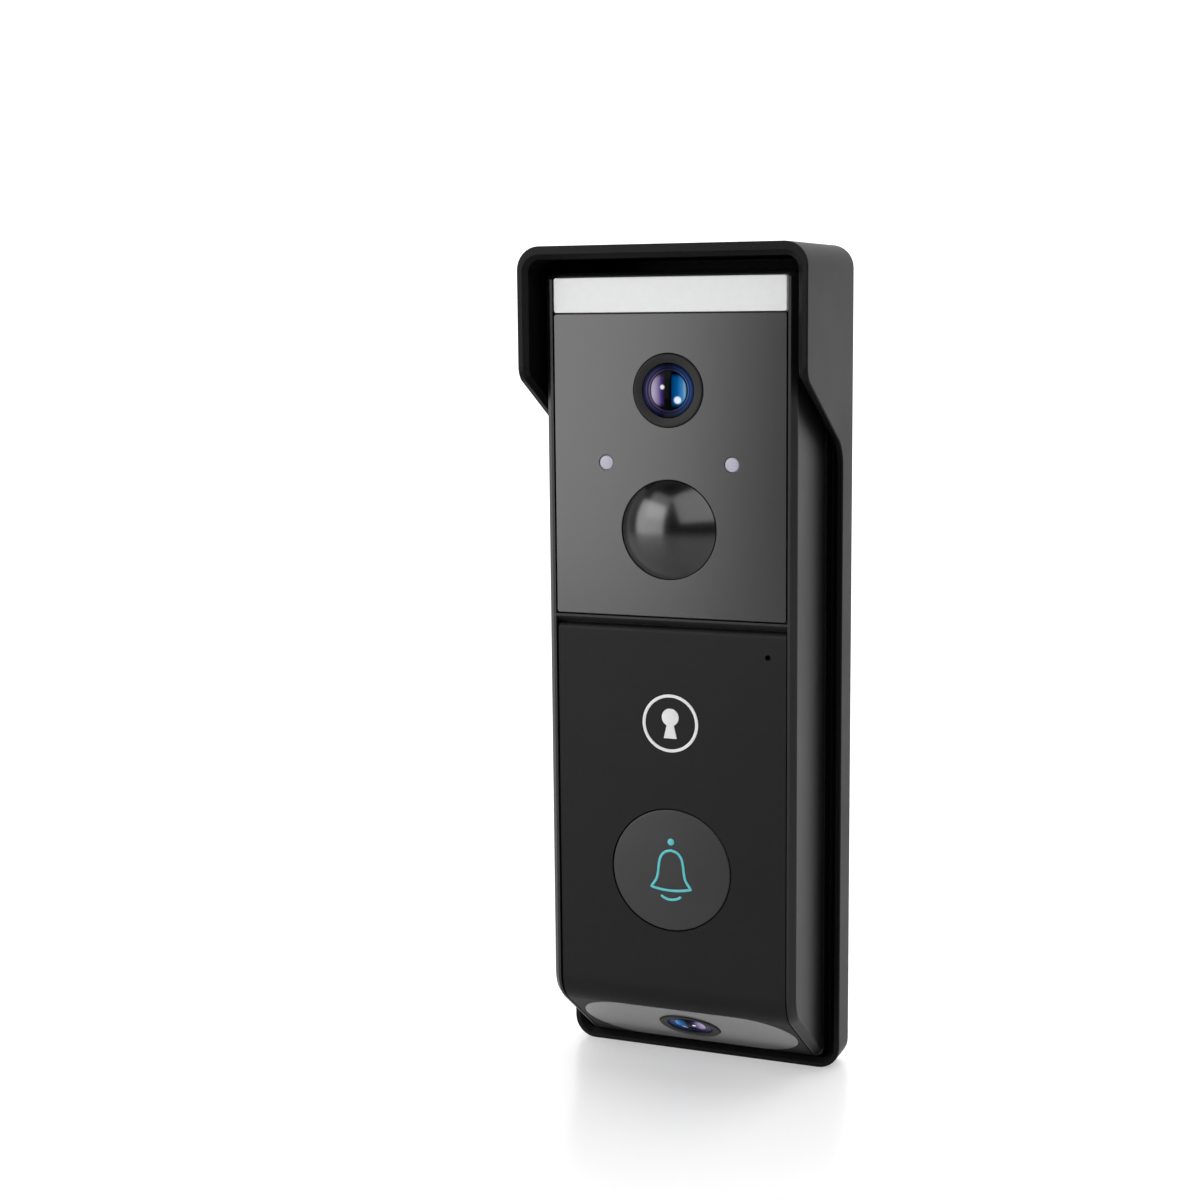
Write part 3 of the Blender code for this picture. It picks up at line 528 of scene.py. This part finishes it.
hood_plastic = moulded_plastic(
    "hood_plastic", (0.003, 0.003, 0.0032), 0.43, 0.075, grain_per_m=5200.0, grain_depth=0.00002
)
shell_plastic = moulded_plastic(
    "shell_plastic", (0.005, 0.005, 0.0053), 0.40, 0.22, grain_per_m=6500.0, grain_depth=0.000012
)
cover_plastic = moulded_plastic(
    "cover_plastic", (0.007, 0.007, 0.0073), 0.50, 0.10, grain_per_m=7000.0, grain_depth=0.000015
)
button_plastic = moulded_plastic(
    "button_plastic", (0.028, 0.028, 0.029), 0.45, 0.20, grain_per_m=7000.0, grain_depth=0.00001
)
print("four black plastics")

# %% [markdown]
# ## Glossy plastics
#
# The upper panel is smoked and polished, and so is the dome. Polished plastic still has hairline
# scratches from wiping and specks of dust, which show only as small changes in its roughness. The
# light bar, the light pipes and the prints are paler, and each gives off a little light: a painted
# glow that brightens them in place of light falling on them.

# %% Glossy finishes
WIPING_LEAN, WIPING_STRETCH = 0.5, 18.0


def polished(name, colour, roughness, shine=0.5, scratch=0.05):
    """A smooth finish whose roughness varies with fine wiping marks and a few dust specks."""
    made, tree, shader, where = new_finish(name)
    lean = add(tree, "ShaderNodeMapping", "wiping", inputs={"Vector": where})
    lean.inputs["Rotation"].default_value = (0.0, WIPING_LEAN, 0.0)
    lean.inputs["Scale"].default_value = (1.0, 1.0, WIPING_STRETCH)
    marks = noise(tree, lean.outputs[0], 160.0, 4.0, "marks")
    rough = ramp(tree, marks, [(0.35, roughness), (0.75, roughness + scratch)], "roughness")
    cloud = noise(tree, where, 40.0, 2.0, "cloud")
    light = tuple(min(1.0, c * 1.12) for c in colour)
    tone = ramp(tree, cloud, [(0.3, colour), (0.7, light)], "tone")
    tree.links.new(tone, shader.inputs["Base Color"])
    tree.links.new(rough, shader.inputs["Roughness"])
    shader.inputs["Specular IOR Level"].default_value = shine
    return made


def glowing(name, colour, strength, roughness=0.35, speckle=600.0):
    """A milky finish with fine speckle and a painted glow of its own colour, in place of light."""
    made, tree, shader, where = new_finish(name)
    grain = noise(tree, where, speckle, 3.0, "speckle")
    dim = tuple(c * 0.97 for c in colour)
    tone = ramp(tree, grain, [(0.3, dim), (0.7, colour)], "tone")
    tree.links.new(tone, shader.inputs["Base Color"])
    tree.links.new(tone, shader.inputs["Emission Color"])
    shader.inputs["Emission Strength"].default_value = strength
    shader.inputs["Roughness"].default_value = roughness
    return made


dark_panel = polished("dark_panel", (0.010, 0.010, 0.0103), 0.20, shine=0.42, scratch=0.004)
dome_plastic = polished("dome_plastic", (0.003, 0.003, 0.003), 0.20, shine=0.46, scratch=0.02)
ring_plastic = polished("ring_plastic", (0.018, 0.017, 0.017), 0.42, shine=0.09)
window_plastic = polished("window_plastic", (0.125, 0.125, 0.128), 0.22)
# The strengths below are painted glow, which makes these parts brighter than the lamps make them.
milky_bar = glowing("milky_bar", (0.74, 0.745, 0.75), 0.14, roughness=0.40)
milky_pipe = glowing("milky_pipe", (0.33, 0.325, 0.40), 0.25, roughness=0.40, speckle=1500.0)
cyan_print = glowing("cyan_print", (0.055, 0.46, 0.50), 0.15, roughness=0.40, speckle=1500.0)
white_print = glowing("white_print", (0.74, 0.74, 0.74), 0.10, roughness=0.50, speckle=1500.0)
print("glossy, milky and printed finishes")

# %% [markdown]
# ## Coated lens glass
#
# A camera lens looks deep blue and violet because its coating reflects a little of those colours.
# The reflections depend on the light in a way that is hard to aim at so small a piece, so the
# finish paints them by place and lets them glow a little: a navy rim with a painted sheen that is
# brighter at the sides, a thin bright ring that is a painted highlight, and a front element with
# one lavender crescent and one blue crescent of painted reflection either side of a black band, and
# two small white glints, which are painted highlights.
#
# Each table gives stops of (place, colour). Rings run by distance from the axis in shares of the
# radius, and crescents and tints from one side of the lens, 0, to the other, 1.

# %% Lens colours
# The rim is the coating's navy with painted sheen, and the thin ring near 0.765 is a painted
# highlight.
RINGS = [
    (0.0, (0.0, 0.0, 0.0)),
    (0.715, (0.0, 0.0, 0.0)),
    (0.735, (0.10, 0.08, 0.12)),
    (0.765, (0.26, 0.22, 0.30)),
    (0.80, (0.05, 0.05, 0.10)),
    (0.84, (0.03, 0.04, 0.10)),
    (0.875, (0.11, 0.10, 0.18)),
    (0.91, (0.02, 0.03, 0.08)),
    (1.0, (0.012, 0.016, 0.04)),
]
# Painted sheen: the rim gets brighter towards the sides of the lens.
SIDE_SHEEN = [(0.10, 0.25), (0.85, 1.0)]
# The painted sheen's tint, lavender on one side and blue on the other.
TINTS = [(0.05, (1.0, 0.8, 1.0)), (0.45, (0.25, 0.3, 0.6)), (0.95, (0.25, 0.75, 1.3))]
# Painted reflections of the lights: a lavender and a blue crescent in the front element.
PAINTED_CRESCENTS = [
    (0.12, (0.12, 0.10, 0.20)),
    (0.19, (0.52, 0.47, 0.60)),
    (0.26, (0.34, 0.27, 0.46)),
    (0.36, (0.05, 0.03, 0.16)),
    (0.42, (0.01, 0.003, 0.03)),
    (0.445, (0.0, 0.0, 0.0)),
    (0.555, (0.0, 0.0, 0.0)),
    (0.575, (0.0, 0.04, 0.16)),
    (0.68, (0.0, 0.11, 0.34)),
    (0.77, (0.05, 0.24, 0.55)),
    (0.82, (0.25, 0.50, 0.72)),
    (0.86, (0.0, 0.05, 0.20)),
]
FRONT_ELEMENT = [(0.50, 1.0), (0.68, 0.85), (0.71, 0.0)]
TIPS = [(0.46, 1.0), (0.62, 0.0)]
# Painted highlights: soft white spots on the front element.
PAINTED_GLINTS = [(-0.225, 0.125, 0.085), (0.36, -0.35, 0.13)]  # across, up and radius
# The painted colours also glow this much, as light of their own.
LENS_PAINTED_GLOW, LENS_ROUGHNESS, LENS_SHINE = 0.15, 0.06, 0.015
print("colours of a coated lens at", len(RINGS) + len(PAINTED_CRESCENTS), "places")

# %% [markdown]
# ## From the tables to a finish
#
# The place on the lens comes from its own frame: the distance from the axis, and how far across
# and up the point lies, all in shares of the lens's radius. The chin camera is flipped, because
# its light comes from the other side.

# %% Lens finish
def mixed(tree, first, second, how):
    """Two colours added or multiplied."""
    made = add(tree, "ShaderNodeMix", data_type="RGBA", blend_type=how)
    made.inputs[0].default_value = 1.0
    tree.links.new(first, made.inputs[6])
    tree.links.new(second, made.inputs[7])
    return made.outputs[2]


def with_painted_glints(tree, shown, both):
    """Adds a painted highlight, a soft white spot, at each glint's place."""
    for spot_x, spot_y, size in PAINTED_GLINTS:
        away = add(tree, "ShaderNodeVectorMath", "painted_glint", operation="DISTANCE")
        tree.links.new(both, away.inputs[0])
        away.inputs[1].default_value = (spot_x, spot_y, 0.0)
        painted_glint = ramp(tree, away.outputs["Value"], [(size * 0.7, 0.9), (size * 1.25, 0.0)], "painted_glint")
        shown = mixed(tree, shown, painted_glint, "ADD")
    return shown


def glass_with_painted_reflections(name, where_frame, radius_mm, flip):
    """Painted sheen on the rim by radius, painted crescents by how far across, then the glints."""
    made, tree, shader, where = new_finish(name)
    origin, right, up = where_frame[:3]
    inward = add(tree, "ShaderNodeVectorMath", "from the axis", operation="SUBTRACT")
    tree.links.new(where, inward.inputs[0])
    inward.inputs[1].default_value = origin

    def along(direction, label):
        """The share of the lens's radius along a direction."""
        dot = add(tree, "ShaderNodeVectorMath", label, operation="DOT_PRODUCT")
        tree.links.new(inward.outputs[0], dot.inputs[0])
        dot.inputs[1].default_value = direction / (radius_mm * MM)
        return dot.outputs["Value"]

    x, y = along(right * flip, "across"), along(up, "up")
    both = add(tree, "ShaderNodeCombineXYZ", inputs={0: x, 1: y}).outputs[0]
    length = add(tree, "ShaderNodeVectorMath", operation="LENGTH", inputs={0: both})
    radius = length.outputs["Value"]
    across = arithmetic(tree, "MULTIPLY_ADD", x, 0.5, 0.5)

    # Painted sheen on the rim: the rings, brighter at the sides and tinted from lavender to blue.
    rim = ramp(tree, radius, RINGS, "rings")
    beside = ramp(tree, arithmetic(tree, "ABSOLUTE", x), SIDE_SHEEN, "brighter at the sides")
    rim = mixed(tree, rim, beside, "MULTIPLY")
    rim = mixed(tree, rim, ramp(tree, across, TINTS, "tints"), "MULTIPLY")
    # Painted reflections: the crescents, kept to the front element and ending above and below.
    painted_crescent = ramp(tree, across, PAINTED_CRESCENTS, "crescents")
    inside = ramp(tree, radius, FRONT_ELEMENT, "front element")
    tips = ramp(tree, arithmetic(tree, "ABSOLUTE", y), TIPS, "crescents end")
    picture = mixed(tree, mixed(tree, painted_crescent, inside, "MULTIPLY"), tips, "MULTIPLY")
    shown = with_painted_glints(tree, mixed(tree, picture, rim, "ADD"), both)

    # The painted picture is the base colour and also a faint glow.
    tree.links.new(shown, shader.inputs["Base Color"])
    tree.links.new(shown, shader.inputs["Emission Color"])
    shader.inputs["Emission Strength"].default_value = LENS_PAINTED_GLOW
    shader.inputs["Roughness"].default_value = LENS_ROUGHNESS
    shader.inputs["Specular IOR Level"].default_value = LENS_SHINE
    return made


print("a coated finish, ready for each camera")

# %% [markdown]
# ## Finishes for what is hidden
#
# The boards, cans, screws and the battery are behind the shells, but a part should look right when
# it is opened. Boards are green with paler tracks under the lacquer, cans and screws are tinned or
# plated steel, and the rubber pieces are dull.

# %% Hidden finishes
DRAWING_STRETCH = 12.0


def board_finish():
    """Lacquered green with a stepped pattern of tracks."""
    made, tree, shader, where = new_finish("circuit_board")
    tracks = add(tree, "ShaderNodeTexBrick", "tracks", inputs={"Vector": where, "Scale": 420.0})
    tracks.inputs["Color1"].default_value = (0.010, 0.075, 0.032, 1)
    tracks.inputs["Color2"].default_value = (0.014, 0.100, 0.045, 1)
    tracks.inputs["Mortar"].default_value = (0.030, 0.160, 0.080, 1)
    tree.links.new(tracks.outputs["Color"], shader.inputs["Base Color"])
    shader.inputs["Roughness"].default_value = 0.35
    return made


def metal_finish(name, colour, roughness, lines_per_m):
    """Plated metal with fine drawing lines in its roughness."""
    made, tree, shader, where = new_finish(name)
    stretch = add(tree, "ShaderNodeMapping", "drawing lines", inputs={"Vector": where})
    stretch.inputs["Scale"].default_value = (1.0, 1.0, DRAWING_STRETCH)
    lines = noise(tree, stretch.outputs[0], lines_per_m, 3.0, "lines")
    rough = ramp(tree, lines, [(0.3, roughness), (0.7, roughness + 0.15)], "roughness")
    tone = ramp(tree, lines, [(0.3, tuple(c * 0.9 for c in colour)), (0.7, colour)], "tone")
    tree.links.new(tone, shader.inputs["Base Color"])
    tree.links.new(rough, shader.inputs["Roughness"])
    shader.inputs["Metallic"].default_value = 1.0
    return made


hidden_finishes = {
    "circuit_board": board_finish(),
    "tinned_steel": metal_finish("tinned_steel", (0.62, 0.62, 0.64), 0.25, 900.0),
    "screw_steel": metal_finish("screw_steel", (0.36, 0.36, 0.38), 0.30, 1500.0),
    "rubber": moulded_plastic("rubber", (0.020, 0.020, 0.020), 0.80, 0.3, 3000.0, 0.00002),
    "battery_wrap": polished("battery_wrap", (0.09, 0.20, 0.42), 0.35),
    "black_part": moulded_plastic("black_part", (0.020, 0.020, 0.021), 0.50, 0.4, 5000.0, 0.00001),
    "led_body": glowing("led_body", (0.82, 0.80, 0.62), 0.0),
    "antenna_film": polished("antenna_film", (0.42, 0.20, 0.07), 0.35),
    "button_plastic": button_plastic,
}
for entry in frame["record"]["subparts"]:
    finish = hidden_finishes.get(entry["material_slot"])
    if finish:
        nodes[entry["node"]].data.materials[0] = finish
print("hidden nodes dressed with", len(hidden_finishes), "finishes")

# %% [markdown]
# ## Hood, shells and panels
#
# These mouldings keep the shape of their solids. The panels get a fine bevel, because the edge of
# a cut or moulded panel is always broken a little.

# %% Large mouldings
settle(skin("rain_hood", "hood_moulding"), hood_plastic, "hood_plastic", "rain_hood")
settle(skin("front_shell", "front_frame"), shell_plastic, "shell_plastic", "front_shell")
settle(skin("rear_shell", "rear_tray"), shell_plastic, "shell_plastic", "rear_shell")
settle(skin("lower_cover", "chin_cover", 0.08), cover_plastic, "cover_plastic", "lower_cover")
settle(skin("glass_panel", "smoked_panel", 0.10), dark_panel, "dark_panel", "glass_panel")
settle(skin("light_bar_lens", "milky_light_bar", 0.15), milky_bar, "diffuser", "light_bar_lens")
settle(skin("chin_window", "chin_panel", 0.08), window_plastic, "window_plastic", "chin_window")
print("seven mouldings in their own shape")

# %% [markdown]
# ## Motion sensor dome
#
# The dome is one thin moulded cap. Its outline is part of a circle: a cap with reach a and height h
# comes from a ball of radius (a^2 + h^2) / 2h. The same formula with a smaller reach gives its
# inside.

# %% Dome
DOME_MM, DOME_INSIDE_MM = (9.5, 3.8), (8.7, 3.5)  # reach and height
DOME_WALL_MM, DOME_BACK_MM = 0.8, -1.4


def cap_arc(reach, height, steps):
    """Points (r, h) from the top of a spherical cap to its edge at height 0."""
    ball = (reach**2 + height**2) / (2 * height)
    angle = np.linspace(0, math.asin(reach / ball), steps)
    return np.stack([ball * np.sin(angle), height - ball * (1 - np.cos(angle))], 1)


outer = cap_arc(*DOME_MM, 28)
inner = cap_arc(*DOME_INSIDE_MM, 18)[::-1] - (0.0, DOME_WALL_MM)
rim = np.array([(DOME_MM[0], DOME_BACK_MM), (DOME_INSIDE_MM[0], DOME_BACK_MM)])
dome = lathe("motion_cap", on_front("motion_dome"), np.concatenate([outer, rim, inner]), 128)
settle(dome, dome_plastic, "dome_plastic", "motion_dome")

# %% [markdown]
# ## Cameras
#
# Each camera shows a flat bezel ring and, inside it, the domed front glass of its lens. The ring's
# edges are rounded. The glass steps down round its front element, which is where the thin painted
# highlight ring in the finish lies.

# %% Lens rings and glass
RING_GAP_MM = 0.08
LENS_BACK_MM = -1.3
ELEMENT_SHARE, ELEMENT_HEIGHT_MM, ELEMENT_DROP_MM = 0.72, 0.42, 0.32
SHOULDER = [  # share of the glass's radius, and height in mm
    (0.735, -0.44),
    (0.765, -0.36),
    (0.80, -0.38),
    (0.88, -0.28),
    (0.92, -0.22),
    (0.98, -0.12),
    (1.0, -0.2),
]


def build_lens(prefix, where, ring_mm, glass_mm, flip):
    """A rounded ring from the glass's edge to ring_mm, and a stepped dome of radius glass_mm."""
    inner = glass_mm + RING_GAP_MM
    profile = rounded_line(
        [
            (inner, 0.10, 0.08),
            (ring_mm - 0.2, 0.30, 0.2),
            (ring_mm, 0.10, 0.12),
            (ring_mm, LENS_BACK_MM, 0.05),
            (inner, LENS_BACK_MM, 0.05),
        ],
        closed=True,
        steps=4,
    )
    bezel = lathe(prefix + "_bezel", where, np.concatenate([profile, profile[:1]]))
    settle(bezel, ring_plastic, "lens_ring", prefix + "_lens_ring")
    element = cap_arc(glass_mm * ELEMENT_SHARE, ELEMENT_HEIGHT_MM, 16) - (0.0, ELEMENT_DROP_MM)
    shoulder = np.array([(glass_mm * share, height) for share, height in SHOULDER])
    back = np.array([(glass_mm, LENS_BACK_MM), (0.0, LENS_BACK_MM)])
    front = lathe(prefix + "_front_glass", where, np.concatenate([element, shoulder, back]))
    finish = glass_with_painted_reflections(prefix + "_glass_with_painted_reflections", where, glass_mm, flip)
    settle(front, finish, "lens_glass", prefix + "_lens_glass")


build_lens("main", on_front("main_lens_ring"), ring_mm=7.0, glass_mm=5.2, flip=1.0)
build_lens("chin", CHIN, ring_mm=6.3, glass_mm=4.6, flip=-1.0)

# %% [markdown]
# ## Light pipes and bell button
#
# These are turned profiles as well. The button's face is flat with a rounded edge, a flange behind
# the cover keeps it in, and a short stem reaches back to its switch.

# %% Pipes and button
PIPE_MM, PIPE_FACE_MM, PIPE_BACK_MM = 1.37, 0.03, -4.6
BUTTON_MM, BUTTON_FACE_MM = 12.25, -0.35
FLANGE_MM, FLANGE_FRONT_MM, FLANGE_BACK_MM = 13.3, -2.2, -3.0
STEM_MM, STEM_BACK_MM = 2.6, -4.4

pipe_profile = rounded_line(
    [
        (0, PIPE_FACE_MM, 0),
        (PIPE_MM, PIPE_FACE_MM, 0.15),
        (PIPE_MM, PIPE_BACK_MM, 0),
        (0, PIPE_BACK_MM, 0),
    ]
)
for side in ("left", "right"):
    node = "light_pipe_" + side
    pipe = lathe("glow_pipe_" + side, on_front(node), pipe_profile, 48)
    settle(pipe, milky_pipe, "light_pipe", node)

button_frame = on_front("bell_button")
button_profile = rounded_line(
    [
        (0.0, BUTTON_FACE_MM, 0),
        (BUTTON_MM, BUTTON_FACE_MM, 0.35),
        (BUTTON_MM, FLANGE_FRONT_MM, 0),
        (FLANGE_MM, FLANGE_FRONT_MM, 0.1),
        (FLANGE_MM, FLANGE_BACK_MM, 0.1),
        (STEM_MM, FLANGE_BACK_MM, 0),
        (STEM_MM, STEM_BACK_MM, 0.1),
        (0.0, STEM_BACK_MM, 0),
    ]
)
press = lathe("press_button", button_frame, button_profile, 160)
settle(press, button_plastic, "button_plastic", "bell_button")

# %% [markdown]
# ## Bell symbol
#
# The symbol is an even line: a round-topped bell that flares to a curved lip, a dot above it and a
# short arc below it. The bell's side is a smooth curve through a few widths, found by cubic
# interpolation, and the lip sags like the arc under it.

# %% Symbol
PRINT_LOW_MM, PRINT_HIGH_MM = -0.31, -0.21
LINE_MM = 0.5
LIP_MM, LIP_UP_MM, LIP_SAG_MM = 4.15, -3.55, 0.55
BELL_SIDE_MM = [
    (0, 4.05),
    (1.25, 3.65),
    (2.15, 2.6),
    (2.5, 1.2),
    (2.72, -0.6),
    (3.1, -2.0),
    (LIP_MM, LIP_UP_MM),
]
DOT_MM = [(0, -0.21), (0.5, -0.22), (0.68, -0.27), (0.68, -0.31), (0, -0.31)]
ARC_MM, ARC_UP_MM, ARC_FROM, ARC_TO = 3.25, -2.7, -2.2, -0.94


def smooth_through(points, count):
    """A Catmull-Rom curve through the points, with count points on it."""
    p = np.array(points, float)
    p = np.concatenate([2 * p[:1] - p[1:2], p, 2 * p[-1:] - p[-2:-1]])
    place = np.linspace(0, len(p) - 3 - 1e-9, count)
    k, t = place.astype(int), (place % 1.0)[:, None]
    a, b, c, d = p[k], p[k + 1], p[k + 2], p[k + 3]
    square, cube = 2 * a - 5 * b + 4 * c - d, 3 * b - a - 3 * c + d
    return 0.5 * (2 * b + (c - a) * t + square * t**2 + cube * t**3)


bell_side = smooth_through(BELL_SIDE_MM, 40)
across = np.linspace(1, -1, 24)[1:-1, None]
lip = np.concatenate([across * LIP_MM, LIP_UP_MM - LIP_SAG_MM * (1 - across**2)], 1)
bell_path = np.concatenate([bell_side, lip, bell_side[:0:-1] * (-1, 1)])
bell = bead(
    "bell_line", button_frame, bell_path, LINE_MM, PRINT_LOW_MM, PRINT_HIGH_MM, closed=True
)
settle(bell, cyan_print, "symbol_cyan", "bell_symbol")

dot = lathe("bell_dot", on_front("bell_symbol_dot"), DOT_MM, 32)
settle(dot, cyan_print, "symbol_cyan", "bell_symbol_dot")

swing = np.linspace(ARC_FROM, ARC_TO, 20)
arc_path = np.stack([ARC_MM * np.cos(swing), ARC_UP_MM + ARC_MM * np.sin(swing)], 1)
clapper = bead("bell_arc", button_frame, arc_path, LINE_MM, PRINT_LOW_MM, PRINT_HIGH_MM)
settle(clapper, cyan_print, "symbol_cyan", "bell_symbol_clapper")
print("bell of", len(bell_path), "points, with its dot and its arc")

# %% [markdown]
# ## Badge
#
# The badge is a plain printed ring with a keyhole. The ring is the same bead carried round a
# circle, and the keyhole is a filled print.

# %% Ring and keyhole
RING_MM, RING_LINE_MM = 5.45, 0.6
HEAD_MM, HEAD_UP_MM, NECK_HALF_MM = 1.75, 1.2, 0.75
FOOT_HALF_MM, FOOT_UP_MM = 1.35, -3.0

badge = on_front("badge_ring")
around = np.linspace(0, 2 * math.pi, 96, endpoint=False)
circle_path = np.stack([RING_MM * np.cos(around), RING_MM * np.sin(around)], 1)
ring = bead(
    "printed_ring", badge, circle_path, RING_LINE_MM, PRINT_LOW_MM, PRINT_HIGH_MM, closed=True
)
settle(ring, white_print, "print_white", "badge_ring")

open_half = math.asin(NECK_HALF_MM / HEAD_MM)
sweep = np.linspace(-math.pi / 2 + open_half, 1.5 * math.pi - open_half, 40)
head = np.stack([HEAD_MM * np.cos(sweep), HEAD_UP_MM + HEAD_MM * np.sin(sweep)], 1)
foot = [(-FOOT_HALF_MM, FOOT_UP_MM), (FOOT_HALF_MM, FOOT_UP_MM)]
keyhole = filled_print(
    "printed_keyhole",
    badge,
    np.concatenate([foot, head]),
    heart_mm=(0.0, 0.3),
    low_mm=PRINT_LOW_MM,
    high_mm=PRINT_HIGH_MM,
)
settle(keyhole, white_print, "print_white", "badge_keyhole")
print("badge ring and keyhole")
